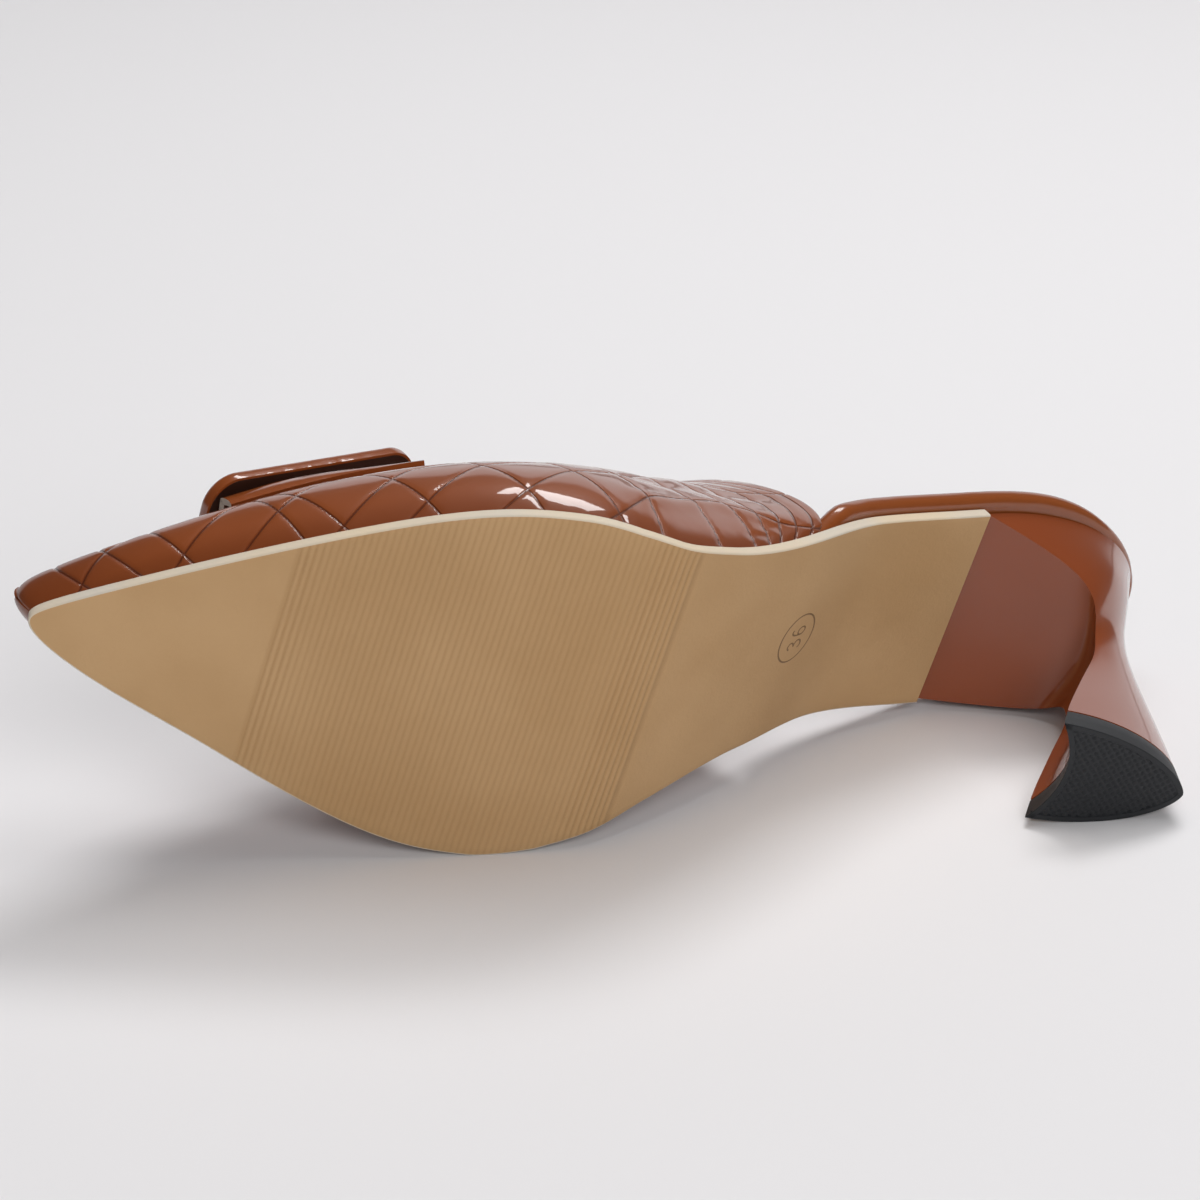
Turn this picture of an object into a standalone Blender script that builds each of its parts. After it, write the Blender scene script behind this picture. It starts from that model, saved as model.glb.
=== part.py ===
# Pointed toe mule, left shoe, lying on its inner side.
# Lengths are metres. The shoe is built upright in its last's own frame and is then laid down:
# x runs from the back of the heel (0) to the toe, y is positive to the outer (lateral) side,
# and z = 0 is the plane through the heel tip and the tread.
import math

import bmesh
import bpy
import numpy as np
from mathutils import Matrix, Vector

# Driving sizes of the last and the tread
sole_reach = 0.2331          # heel back to toe point, measured level
seat_width = 0.0455          # across the heel seat
waist_width = 0.0478         # across the waist
ball_width = 0.0750          # across the ball
heel_height = 0.0702         # floor to the underside of the seat, at the back
toe_spring = 0.0057          # floor to the tread, at the toe point
tread_back = 0.555           # share of the reach where the tread comes down to the floor
tread_front = 0.605          # share of the reach where it leaves the floor again

# Upper
upper_wall = 0.0018          # leather and lining together
instep_height = 0.0670       # crest of the vamp above the outsole, at the vamp's top edge
vamp_back = 0.362            # share of the reach where the vamp starts at the sole
throat_back = 0.500          # share of the reach where its top edge crosses the instep
nose_back = 0.925            # share of the reach where the crest ends above the toe
sole_margin = 0.0006         # the outsole shows this far outside the foot of the upper

# Sole, insole, heel
outsole_thickness = 0.0025
insole_thickness = 0.0044
rand_proud = 0.0020          # the wrapped edge stands this far outside the sole behind the vamp
rand_start = 0.325           # share of the reach where the wrapped edge starts to draw in
insole_toe = 0.930           # share of the reach where the insole's round end starts
insole_nose = 0.70           # length of that round end, as a share of its half width
breast_reach = 0.0432        # heel back to the breast line
seat_inset = 0.0004          # the heel block stands this far inside the sole's outline
tip_reach = 0.0081           # heel back to the back of the tip, measured level
tip_length = 0.0293
tip_width = 0.0222
tip_thickness = 0.0058
tip_hollow = 0.0042          # depth of the crescent in the front of the tip

# Buckle frame and band
frame_length = 0.0480        # along the shoe
frame_width = 0.0400         # across the vamp
frame_bar = 0.0058
frame_thickness = 0.0026
frame_corner = 0.0065        # outer corner radius
frame_place = 0.764          # share of the reach where the frame's middle sits
frame_lift = 0.0038          # middle of the frame's underside above the vamp
frame_pitch = 4.0            # degrees that the frame's back stands up from the vamp
band_thickness = 0.0014
band_span = 0.46             # share of each side of the vamp that the band comes down
band_roll = 0.0044           # height of the roll at each end of the band, where the frame leaves room
band_play = 0.0010           # clearance to the frame's bars fore and aft

fit_gap = 0.0003             # curved pieces meet with this gap

# How finely the curved forms are divided
perimeter_steps = 44
rib_steps = 12
heel_steps = 14

# Width along the shoe, as the share of the reach where each named width is reached
width_stations = ((0.0, "seat"), (0.203, "seat"), (0.380, "waist"), (0.610, "ball"), (1.0, "ball"))
named_width = {"seat": seat_width, "waist": waist_width, "ball": ball_width}

# Outline of the tread: share of the reach, then each edge as a share of the local width
outline_table = (
    # reach, lateral, medial
    (0.000, 0.000, 0.000),
    (0.032, 0.290, -0.266),
    (0.104, 0.477, -0.443),
    (0.203, 0.519, -0.481),
    (0.299, 0.532, -0.452),
    (0.380, 0.551, -0.449),
    (0.465, 0.517, -0.470),
    (0.567, 0.478, -0.521),
    (0.653, 0.444, -0.547),
    (0.740, 0.341, -0.494),
    (0.837, 0.190, -0.379),
    (0.924, 0.041, -0.276),
    (0.984, -0.071, -0.183),
    (1.000, -0.123, -0.123),
)

# Rise of the tread behind its flat: share of the reach, share of the heel height
rise_table = (
    (0.000, 1.000), (0.032, 0.976), (0.104, 0.896), (0.203, 0.754), (0.299, 0.585),
    (0.380, 0.345), (0.465, 0.121), (0.520, 0.018), (tread_back, 0.000),
)

# Spring of the tread in front of its flat: share of the reach, share of the toe spring
spring_table = ((tread_front, 0.00), (0.653, 0.12), (0.740, 0.42), (0.837, 0.62), (0.924, 0.80), (1.0, 1.0))

# Sections of the vamp
vamp_table = (
    # reach, crest height (of the instep height), crest offset (of the ball width),
    # lateral flare, medial flare (of the ball width), rise handle, crown handle
    (0.362, 1.00, -0.030, 0.100, 0.060, 0.21, 0.51),
    (0.500, 0.97, -0.040, 0.072, 0.080, 0.42, 0.61),
    (0.600, 0.825, -0.060, 0.091, 0.135, 0.30, 0.62),
    (0.700, 0.635, -0.080, 0.107, 0.128, 0.40, 0.64),
    (0.800, 0.45, -0.100, 0.134, 0.115, 0.56, 0.62),
    (0.925, 0.25, -0.125, 0.126, 0.130, 0.65, 0.60),
    (1.000, 0.18, -0.125, 0.118, 0.135, 0.70, 0.56),
)

# Levels of the heel, from the seat (0) to the floor (1)
heel_table = (
    # level, depth of the seat, depth of the tip, width of the seat, width of the tip, back, hollow, roundness
    (0.00, 1.00, 0.000, 1.00, 0.000, 0.00, 0.00, 0.82),
    (0.12, 0.30, 0.240, 0.45, 0.565, 0.36, 0.30, 0.90),
    (0.25, 0.06, 0.350, 0.12, 0.670, 0.72, 0.55, 1.00),
    (0.40, 0.00, 0.447, 0.00, 0.757, 0.94, 0.70, 1.10),
    (0.55, 0.00, 0.587, 0.00, 0.786, 0.96, 0.80, 1.18),
    (0.70, 0.00, 0.744, 0.00, 0.857, 0.94, 0.90, 1.24),
    (0.85, 0.00, 0.887, 0.00, 0.930, 0.95, 0.97, 1.28),
    (1.00, 0.00, 1.000, 0.00, 1.000, 1.00, 1.00, 1.30),
)


def curve_through(knots, values):
    """A natural cubic curve through the knots, held at its ends outside them."""
    x = np.array(knots, float)
    y = np.array(values, float)
    n = len(x)
    h = np.diff(x)
    system = np.eye(n)
    right = np.zeros(n)
    for i in range(1, n - 1):
        system[i, i - 1:i + 2] = (h[i - 1], 2 * (h[i - 1] + h[i]), h[i])
        right[i] = 6 * ((y[i + 1] - y[i]) / h[i] - (y[i] - y[i - 1]) / h[i - 1])
    bend = np.linalg.solve(system, right)

    def value(at):
        at = min(max(at, x[0]), x[-1])
        i = min(int(np.searchsorted(x, at, side="right")) - 1, n - 2)
        a = (x[i + 1] - at) / h[i]
        b = (at - x[i]) / h[i]
        curl = ((a ** 3 - a) * bend[i] + (b ** 3 - b) * bend[i + 1]) * h[i] ** 2 / 6
        return float(a * y[i] + b * y[i + 1] + curl)

    return value


def steady_through(knots, values):
    """A cubic curve through the knots that never overshoots between two of them."""
    x = np.array(knots, float)
    y = np.array(values, float)
    h = np.diff(x)
    slope = np.diff(y) / h
    tangent = np.zeros(len(x))
    for i in range(1, len(x) - 1):
        if slope[i - 1] * slope[i] > 0:
            w1 = 2 * h[i] + h[i - 1]
            w2 = h[i] + 2 * h[i - 1]
            tangent[i] = (w1 + w2) / (w1 / slope[i - 1] + w2 / slope[i])
    tangent[0] = slope[0]
    tangent[-1] = slope[-1]

    def value(at):
        at = min(max(at, x[0]), x[-1])
        i = min(int(np.searchsorted(x, at, side="right")) - 1, len(x) - 2)
        t = (at - x[i]) / h[i]
        return float(
            y[i] * (1 + 2 * t) * (1 - t) ** 2 + tangent[i] * h[i] * t * (1 - t) ** 2
            + y[i + 1] * t * t * (3 - 2 * t) + tangent[i + 1] * h[i] * t * t * (t - 1)
        )

    return value


def column(table, index):
    return [row[index] for row in table]


def turn_of(share):
    """The angle that spreads a rounded outline evenly round its two ends."""
    return math.acos(1 - 2 * min(max(share, 0), 1))


def ease(share):
    share = min(max(share, 0), 1)
    return share * share * (3 - 2 * share)


local_width = steady_through(column(width_stations, 0), [named_width[name] for _, name in width_stations])
lateral_share = curve_through([turn_of(row[0]) for row in outline_table], column(outline_table, 1))
medial_share = curve_through([turn_of(row[0]) for row in outline_table], column(outline_table, 2))
rise_share = steady_through(column(rise_table, 0), column(rise_table, 1))
spring_share = steady_through(column(spring_table, 0), column(spring_table, 1))


def edge_at(share, side):
    """The tread's edge in plan: side is 1 for lateral and -1 for medial."""
    part = lateral_share if side > 0 else medial_share
    return Vector((share * sole_reach, part(turn_of(share)) * local_width(share)))


def tread_at(x):
    """Height of the tread over the floor."""
    share = x / sole_reach
    if share < tread_back:
        return heel_height * rise_share(share)
    if share < tread_front:
        return 0.0
    return toe_spring * spring_share(share)


def tread_normal(x):
    """Unit vector that points up, square to the tread, at x."""
    step = 0.0008
    low = max(x - step, 0)
    high = min(x + step, sole_reach)
    slope = (tread_at(high) - tread_at(low)) / (high - low)
    return Vector((-slope, 0, 1)).normalized()


def on_tread(point, height):
    """The place in space of a plan point, raised square to the tread."""
    x = min(max(point.x, 0), sole_reach)
    base = Vector((point.x, point.y, tread_at(x)))
    return base + tread_normal(x) * height


def perimeter(start, end, count):
    """Plan points from the lateral edge at start, round the toe, back to the medial edge at start.

    With start at 0 the loop closes at the back of the heel, where it has one point only.
    """
    first = turn_of(start)
    last = turn_of(end)
    shares = [(1 - math.cos(first + (last - first) * i / count)) / 2 for i in range(count + 1)]
    lateral = [edge_at(share, 1) for share in shares]
    medial = [edge_at(share, -1) for share in reversed(shares[:-1])]
    loop = lateral + medial
    return loop[:-1] if start == 0 else loop


def outset(points, closed, distance_at):
    """Moves each plan point outwards, square to the outline."""
    moved = []
    count = len(points)
    for i, point in enumerate(points):
        before = points[(i - 1) % count] if closed or i > 0 else point
        after = points[(i + 1) % count] if closed or i < count - 1 else point
        along = (after - before).normalized()
        outward = Vector((-along.y, along.x))
        moved.append(point + outward * distance_at(i))
    return moved


def new_collection(name):
    made = bpy.data.collections.new(name)
    bpy.context.scene.collection.children.link(made)
    return made


def new_material(name, color, roughness, metallic=0.0, coat=0.0):
    material = bpy.data.materials.new(name)
    material.use_nodes = True
    shader = material.node_tree.nodes["Principled BSDF"]
    shader.inputs["Base Color"].default_value = (*color, 1)
    shader.inputs["Roughness"].default_value = roughness
    shader.inputs["Metallic"].default_value = metallic
    shader.inputs["Coat Weight"].default_value = coat
    return material


def mesh_object(name, bm, material, crease_angle=35):
    """Makes the finished bmesh an object of the shoe, shaded smooth up to the given angle."""
    mesh = bpy.data.meshes.new(name)
    bm.to_mesh(mesh)
    bm.free()
    mesh.shade_smooth()
    mesh.set_sharp_from_angle(angle=math.radians(crease_angle))
    made = bpy.data.objects.new(name, mesh)
    made.data.materials.append(material)
    shoe.objects.link(made)
    made.parent = lying
    return made


def bridge(bm, first, second, closed):
    count = len(first)
    for i in range(count if closed else count - 1):
        j = (i + 1) % count
        corners = []
        for vertex in (first[i], first[j], second[j], second[i]):
            if vertex not in corners:
                corners.append(vertex)
        if len(corners) > 2:
            bm.faces.new(corners)


def close_with_rungs(bm, ring, single_point):
    """Closes a ring with strips from its lateral to its medial edge."""
    count = len(ring)
    pairs = [(ring[i], ring[-i % count] if single_point else ring[count - 1 - i]) for i in range(count)]
    half = count // 2
    for (a, b), (c, d) in zip(pairs[:half], pairs[1:half + 1]):
        corners = []
        for vertex in (a, c, d, b):
            if vertex not in corners:
                corners.append(vertex)
        bm.faces.new(corners)


def stacked_solid(name, rings, material, single_point, crease_angle=35):
    """A closed solid through rings that have equal numbers of points."""
    bm = bmesh.new()
    made = [[bm.verts.new(point) for point in ring] for ring in rings]
    for lower, upper in zip(made[:-1], made[1:]):
        bridge(bm, lower, upper, True)
    close_with_rungs(bm, made[0], single_point)
    close_with_rungs(bm, made[-1], single_point)
    bmesh.ops.recalc_face_normals(bm, faces=bm.faces)
    return mesh_object(name, bm, material, crease_angle)


def build_outsole():
    start = (breast_reach + fit_gap) / sole_reach
    outline = perimeter(start, 1, perimeter_steps)
    softened = 0.12 * outsole_thickness
    layers = ((softened, 0), (0, softened), (0, outsole_thickness - softened), (softened, outsole_thickness))
    rings = []
    for inset, height in layers:
        ring = outset(outline, False, lambda i: -inset)
        rings.append([on_tread(point, height) for point in ring])
    return stacked_solid("outsole", rings, tan_leather, False)


def insole_offset(share):
    """How far the insole stands outside the tread's outline: out behind the vamp, in under it."""
    inside = -(sole_margin + upper_wall + 4 * fit_gap)
    drawn_in = vamp_back - fit_gap / sole_reach
    return rand_proud + (inside - rand_proud) * ease((share - rand_start) / (drawn_in - rand_start))


def insole_outline():
    """The tread's outline moved out or in, and closed by a round inside the toe."""
    shares = [insole_toe * i / perimeter_steps for i in range(perimeter_steps + 1)]
    shares = [insole_toe * (1 - math.cos(math.pi / 2 * share / insole_toe)) for share in shares]
    edges = []
    for side in (1, -1):
        edge = [edge_at(share, side) for share in shares]
        mirrored = Vector((edge[1].x, 2 * edge[0].y - edge[1].y))
        moved = []
        for i, share in enumerate(shares):
            before = edge[i - 1] if i else mirrored
            along = (edge[min(i + 1, perimeter_steps)] - before).normalized()
            moved.append(edge[i] + Vector((-along.y, along.x)) * side * insole_offset(share))
        edges.append(moved)
    lateral, medial = edges
    middle = (lateral[-1] + medial[-1]) / 2
    across = (lateral[-1] - medial[-1]) / 2
    ahead = Vector((across.y, -across.x)) * insole_nose
    nose = [middle + across * math.cos(angle) + ahead * math.sin(angle)
            for angle in (math.pi * i / 8 for i in range(1, 8))]
    return lateral + nose + medial[:0:-1]


def build_insole():
    outline = insole_outline()
    floor = outsole_thickness + fit_gap
    rings = []
    for inset, level in ((0.45, 0.0), (0.12, 0.10), (0.0, 0.35), (0.0, 0.65), (0.12, 0.90), (0.45, 1.0)):
        ring = outset(outline, True, lambda i: -inset * insole_thickness)
        rings.append([on_tread(point, floor + level * insole_thickness) for point in ring])
    return stacked_solid("insole", rings, wrap_leather, True)


class Vamp:
    """The upper's outer surface: ribs that rise from the sole's edge to the crest."""

    columns = [curve_through(column(vamp_table, 0), column(vamp_table, i)) for i in range(1, 7)]

    @classmethod
    def crest(cls, share):
        height, offset = cls.columns[0](share), cls.columns[1](share)
        base = on_tread(Vector((share * sole_reach, 0)), outsole_thickness)
        return base + Vector((0, offset * ball_width, height * instep_height))

    @classmethod
    def crest_slope(cls, share):
        step = 0.004
        rise = cls.crest(share + step) - cls.crest(share - step)
        return rise.z / rise.x

    @classmethod
    def rib(cls, share, side):
        """Returns the point and the outward normal along one rib, from 0 (foot) to 1 (crest)."""
        span = (share - vamp_back) / (1 - vamp_back)
        crest_share = share + (throat_back - vamp_back) * (1 - span) ** 3 - (1 - nose_back) * span ** 3
        top = cls.crest(crest_share)
        plan = edge_at(share, side)
        inward = (Vector((top.x, top.y)) - plan).normalized()
        plan = plan + inward * sole_margin
        foot = on_tread(plan, outsole_thickness + fit_gap)
        flare = cls.columns[2 if side > 0 else 3](share) * ball_width
        rise = cls.columns[4](share)
        crown = cls.columns[5](share)
        outward = Vector((-inward.x, -inward.y, 0))
        across = (Vector((top.x, top.y)) - Vector((foot.x, foot.y))).length
        p1 = foot + outward * flare + Vector((0, 0, rise * (top.z - foot.z)))
        p2 = top + (outward + Vector((0, 0, cls.crest_slope(crest_share) * outward.x))) * (crown * across)

        def point(at):
            back = 1 - at
            return foot * back ** 3 + p1 * (3 * back * back * at) + p2 * (3 * back * at * at) + top * at ** 3

        def normal(at):
            low, high = point(max(at - 0.01, 0)), point(min(at + 0.01, 1))
            rising = (high - low).normalized()
            return (outward - rising * outward.dot(rising)).normalized() if at < 0.999 else Vector((0, 0, 1))

        return point, normal


def rib_through(x, at, side):
    """The rib that is at x when it is followed up to the given place."""
    low, high = vamp_back, 1.0
    for _ in range(20):
        middle = (low + high) / 2
        point, _ = Vamp.rib(middle, side)
        if point(at).x < x:
            low = middle
        else:
            high = middle
    return Vamp.rib(low, side)


def vamp_shares(count):
    """Shares of the reach from the back of the vamp to the toe, closer together towards the toe."""
    return [vamp_back + (1 - vamp_back) * math.sin(math.pi / 2 * i / count) for i in range(count + 1)]


def build_upper():
    shares = vamp_shares(perimeter_steps - 8)
    ribs = [Vamp.rib(share, 1) for share in shares]
    ribs += [Vamp.rib(share, -1) for share in reversed(shares[:-1])]
    bm = bmesh.new()
    rows = []
    for step in range(rib_steps + 1):
        at = step / rib_steps
        rows.append([bm.verts.new(point(at)) for point, _ in ribs])
    for lower, upper in zip(rows[:-1], rows[1:]):
        bridge(bm, lower, upper, False)
    bmesh.ops.remove_doubles(bm, verts=bm.verts, dist=0.00002)
    bmesh.ops.recalc_face_normals(bm, faces=bm.faces)
    made = mesh_object("upper", bm, patent_leather, 60)
    wall = made.modifiers.new("wall", "SOLIDIFY")
    wall.thickness = upper_wall
    wall.offset = -1
    return made


class Heel:
    """Sections of the heel block and its tip, as one form from the seat to the floor."""

    columns = [curve_through(column(heel_table, 0), column(heel_table, i)) for i in range(1, 8)]

    @classmethod
    def ring(cls, height_at):
        """One ring; height_at gives each point's height from the height of the seat above it."""
        flank = [math.pi / 2 * i / heel_steps for i in range(heel_steps + 1)]
        front = [-1 + 2 * i / 6 for i in range(1, 6)]
        spots = [(angle, 1, None) for angle in flank] + [(math.pi / 2, -across, across) for across in front]
        spots += [(angle, -1, None) for angle in reversed(flank[1:])]
        return [cls.point(angle, side, across, height_at) for angle, side, across in spots]

    @classmethod
    def plan(cls, level, angle, side, across):
        depth = cls.columns[0](level) * (breast_reach - seat_inset) + cls.columns[1](level) * tip_length
        half = (cls.columns[2](level) * (seat_width / 2 - seat_inset) + cls.columns[3](level) * tip_width / 2)
        back = seat_inset + cls.columns[4](level) * (tip_reach - seat_inset)
        front = back + depth
        if across is None:
            x = front - depth * math.cos(angle)
            y = side * half * math.sin(angle) ** cls.columns[6](level)
            return x, y
        hollow = cls.columns[5](level) * tip_hollow
        return front - hollow * (1 - across * across), -across * half

    @classmethod
    def point(cls, angle, side, across, height_at):
        seat_x, _ = cls.plan(0, angle, side, across)
        seat = tread_at(seat_x) + outsole_thickness
        height = height_at(seat)
        level = 1 - height / seat
        x, y = cls.plan(level, angle, side, across)
        return Vector((x, y, height))


def heel_solid(name, rings, material):
    """Closes a stack of heel rings: level ends as one face, a sloping seat in strips."""
    bm = bmesh.new()
    made = [[bm.verts.new(point) for point in ring] for ring in rings]
    for lower, upper in zip(made[:-1], made[1:]):
        bridge(bm, lower, upper, True)
    bm.faces.new(made[-1])
    top = made[0]
    count = len(top)
    for i in range(heel_steps - 1):
        corners = [top[i], top[i + 1], top[-i - 1], top[-i % count]]
        bm.faces.new(list(dict.fromkeys(corners)))
    bm.faces.new(top[heel_steps - 1:count - heel_steps + 2])
    bmesh.ops.recalc_face_normals(bm, faces=bm.faces)
    return mesh_object(name, bm, material, 40)


def build_heel():
    floor = tip_thickness + fit_gap
    rings = []
    for step in range(heel_steps + 1):
        share = step / heel_steps
        rings.append(Heel.ring(lambda seat: floor + (seat - floor) * (1 - share)))
    return heel_solid("heel", rings, heel_lacquer)


def build_heel_tip():
    rings = [Heel.ring(lambda seat: height) for height in (tip_thickness, tip_thickness / 2, 0.0)]
    return heel_solid("heel_tip", rings, tip_rubber)


def frame_place_matrix():
    """Stands the frame on the vamp: its x axis points to the toe and its z axis away from the vamp."""
    here = Vamp.crest(frame_place)
    half = frame_length / 2 / sole_reach
    ahead, behind = Vamp.crest(frame_place + half), Vamp.crest(frame_place - half)
    along = (ahead - behind).normalized()
    up = Vector((0, 1, 0)).cross(-along).normalized()
    tilt = Matrix.Rotation(math.radians(frame_pitch), 3, "Y")
    along = tilt @ along
    up = tilt @ up
    side = up.cross(along)
    base = here + up * (frame_lift + frame_thickness / 2)
    turned = Matrix((along, side, up)).transposed().to_4x4()
    return Matrix.Translation(base) @ turned


def rounded_rectangle(length, width, radius, steps):
    """Points round a rectangle with rounded corners."""
    points = []
    for quarter, (sx, sy) in enumerate(((1, 1), (-1, 1), (-1, -1), (1, -1))):
        middle = Vector((sx * (length / 2 - radius), sy * (width / 2 - radius)))
        for i in range(steps + 1):
            angle = math.pi / 2 * (quarter + i / steps)
            points.append(middle + Vector((math.cos(angle), math.sin(angle))) * radius)
    return points


def build_frame():
    steps = 8
    bm = bmesh.new()
    half = frame_thickness / 2
    rings = []
    for inset, height in ((0.10, -0.6), (0.0, -0.1), (0.06, 0.6), (0.22, 0.95), (0.78, 0.95), (0.94, 0.6),
                          (1.0, -0.1), (0.90, -0.6), (0.72, -1.0), (0.28, -1.0)):
        shift = inset * frame_bar
        outline = rounded_rectangle(
            frame_length - 2 * shift, frame_width - 2 * shift, frame_corner - shift, steps)
        rings.append([bm.verts.new((point.x, point.y, height * half)) for point in outline])
    for lower, upper in zip(rings, rings[1:] + rings[:1]):
        bridge(bm, lower, upper, True)
    bmesh.ops.recalc_face_normals(bm, faces=bm.faces)
    bmesh.ops.transform(bm, matrix=frame_place_matrix(), verts=bm.verts)
    return mesh_object("buckle_frame", bm, patent_leather, 40)


def build_band():
    """A band across the vamp that rolls up from its two ends and passes close under the frame."""
    opening = frame_length - 2 * frame_bar - 2 * band_play
    place = frame_place_matrix()
    frame_up = place.to_3x3() @ Vector((0, 0, 1))
    underside = place @ Vector((0, 0, -frame_thickness / 2 - fit_gap))
    seated = fit_gap + band_thickness
    middle = place.translation.x
    steps = 12
    bm = bmesh.new()
    rows = []
    for i in range(9):
        x = middle + opening * (i / 8 - 0.5)
        row = []
        for side in (1, -1):
            for j in range(steps + 1) if side > 0 else range(steps - 1, -1, -1):
                at = 1 - band_span + band_span * j / steps
                point, normal = rib_through(x, at, side)
                rolled = math.sin(math.pi / 2 * min(1, 3 * j / steps)) ** 0.7
                room = (underside - point(at)).dot(frame_up) / normal(at).dot(frame_up)
                row.append(bm.verts.new(point(at) + normal(at) * min(seated + band_roll * rolled, room)))
        rows.append(row)
    for first, second in zip(rows[:-1], rows[1:]):
        bridge(bm, first, second, False)
    bmesh.ops.recalc_face_normals(bm, faces=bm.faces)
    made = mesh_object("band", bm, patent_leather, 60)
    wall = made.modifiers.new("wall", "SOLIDIFY")
    wall.thickness = band_thickness
    wall.offset = -1
    return made


def evaluated_shape(made):
    """The object's finished mesh as a bmesh, in the last's frame."""
    view = bpy.context.evaluated_depsgraph_get()
    bm = bmesh.new()
    bm.from_mesh(made.evaluated_get(view).to_mesh())
    return bm


def lay_down(pieces):
    """Turns the shoe onto its inner side, so that it rests on the three points that carry it."""
    points = []
    weight = 0.0
    moment = Vector((0, 0, 0))
    for made in pieces:
        bm = evaluated_shape(made)
        bmesh.ops.triangulate(bm, faces=bm.faces)
        for face in bm.faces:
            a, b, c = (vertex.co for vertex in face.verts)
            part = a.dot(b.cross(c)) / 6
            weight += part
            moment += (a + b + c) / 4 * part
        points += [vertex.co.copy() for vertex in bm.verts]
        bm.free()
    centre = moment / weight

    hull = bmesh.new()
    for point in points:
        hull.verts.new(point)
    bmesh.ops.convex_hull(hull, input=hull.verts)
    hull.normal_update()
    resting = None
    widest = 0.0
    for face in hull.faces:
        down = face.normal
        if down.dot(Vector((0, -1, 0))) < 0.5:
            continue
        a, b, c = (vertex.co for vertex in face.verts)
        foot = centre + down * (a - centre).dot(down)
        inside = all((q - p).cross(foot - p).dot(down) >= 0 for p, q in ((a, b), (b, c), (c, a)))
        if inside and face.calc_area() > widest:
            widest = face.calc_area()
            resting = down.copy()
    hull.free()

    up = -resting
    along = (Vector((-1, 0, 0)) - up * up.x * -1).normalized()
    turned = Matrix((along, up.cross(along), up))
    placed = [turned @ point for point in points]
    low = [min(point[i] for point in placed) for i in range(3)]
    high = [max(point[i] for point in placed) for i in range(3)]
    shift = Vector((-(low[0] + high[0]) / 2, -(low[1] + high[1]) / 2, -low[2]))
    lying.matrix_world = Matrix.Translation(shift) @ turned.to_4x4()


for old in list(bpy.data.objects):
    bpy.data.objects.remove(old, do_unlink=True)

shoe = new_collection("pointed_toe_mule")
lying = bpy.data.objects.new("lying", None)
shoe.objects.link(lying)

patent_leather = new_material("patent_leather", (0.180, 0.050, 0.018), 0.22, coat=0.8)
wrap_leather = new_material("wrap_leather", (0.200, 0.060, 0.022), 0.35, coat=0.4)
tan_leather = new_material("tan_leather", (0.430, 0.265, 0.125), 0.75)
heel_lacquer = new_material("heel_lacquer", (0.130, 0.034, 0.014), 0.16, coat=1.0)
tip_rubber = new_material("tip_rubber", (0.022, 0.023, 0.024), 0.62)

pieces = [
    build_outsole(),
    build_insole(),
    build_upper(),
    build_heel(),
    build_heel_tip(),
    build_frame(),
    build_band(),
]
bpy.context.view_layer.update()
lay_down(pieces)
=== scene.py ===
import math

import bmesh
import bpy
import numpy as np
from mathutils import Matrix, Vector


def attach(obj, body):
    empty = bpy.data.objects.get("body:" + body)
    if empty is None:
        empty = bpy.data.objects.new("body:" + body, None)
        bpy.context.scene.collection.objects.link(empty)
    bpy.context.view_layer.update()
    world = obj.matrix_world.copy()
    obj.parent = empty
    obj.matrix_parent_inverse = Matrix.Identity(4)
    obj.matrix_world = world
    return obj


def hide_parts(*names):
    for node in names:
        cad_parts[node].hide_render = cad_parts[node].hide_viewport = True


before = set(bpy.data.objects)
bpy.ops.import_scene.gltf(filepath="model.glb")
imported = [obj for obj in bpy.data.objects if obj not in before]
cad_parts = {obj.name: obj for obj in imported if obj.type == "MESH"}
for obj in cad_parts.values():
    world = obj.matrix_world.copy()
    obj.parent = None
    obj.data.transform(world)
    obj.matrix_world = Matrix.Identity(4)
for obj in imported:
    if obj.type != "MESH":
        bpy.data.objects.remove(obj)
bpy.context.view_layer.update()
print("model loaded")

# The last: every shape is worked out in its upright frame, in metres, x to the toe, y outward, z up
last = {
    "reach": 0.2331, "seat": 0.0455, "waist": 0.0478, "ball": 0.0750,
    "heelHeight": 0.0702, "toeSpring": 0.0057, "treadBack": 0.555, "treadFront": 0.605,
    "slopeStep": 0.0008,
}
# Turns the upright shoe onto its inner side, as the part lies
lying = Matrix((
    (-0.96773, 0.24787, 0.04538, 0.1123),
    (0.0, -0.18007, 0.98365, -0.03523),
    (0.25199, 0.95191, 0.17426, 0.00301),
    (0.0, 0.0, 0.0, 1.0),
))


def curveThrough(knots, values):  # natural cubic, held at its ends
    x, y = np.array(knots, float), np.array(values, float)
    n, h = len(x), np.diff(x)
    rows, right = np.eye(n), np.zeros(n)
    for i in range(1, n - 1):
        rows[i, i - 1:i + 2] = (h[i - 1], 2 * (h[i - 1] + h[i]), h[i])
        right[i] = 6 * ((y[i + 1] - y[i]) / h[i] - (y[i] - y[i - 1]) / h[i - 1])
    bend = np.linalg.solve(rows, right)

    def value(at):
        at = np.clip(at, x[0], x[-1])
        i = np.clip(np.searchsorted(x, at, side="right") - 1, 0, n - 2)
        a, b = (x[i + 1] - at) / h[i], (at - x[i]) / h[i]
        curl = ((a ** 3 - a) * bend[i] + (b ** 3 - b) * bend[i + 1]) * h[i] ** 2 / 6
        return a * y[i] + b * y[i + 1] + curl

    return value


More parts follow.
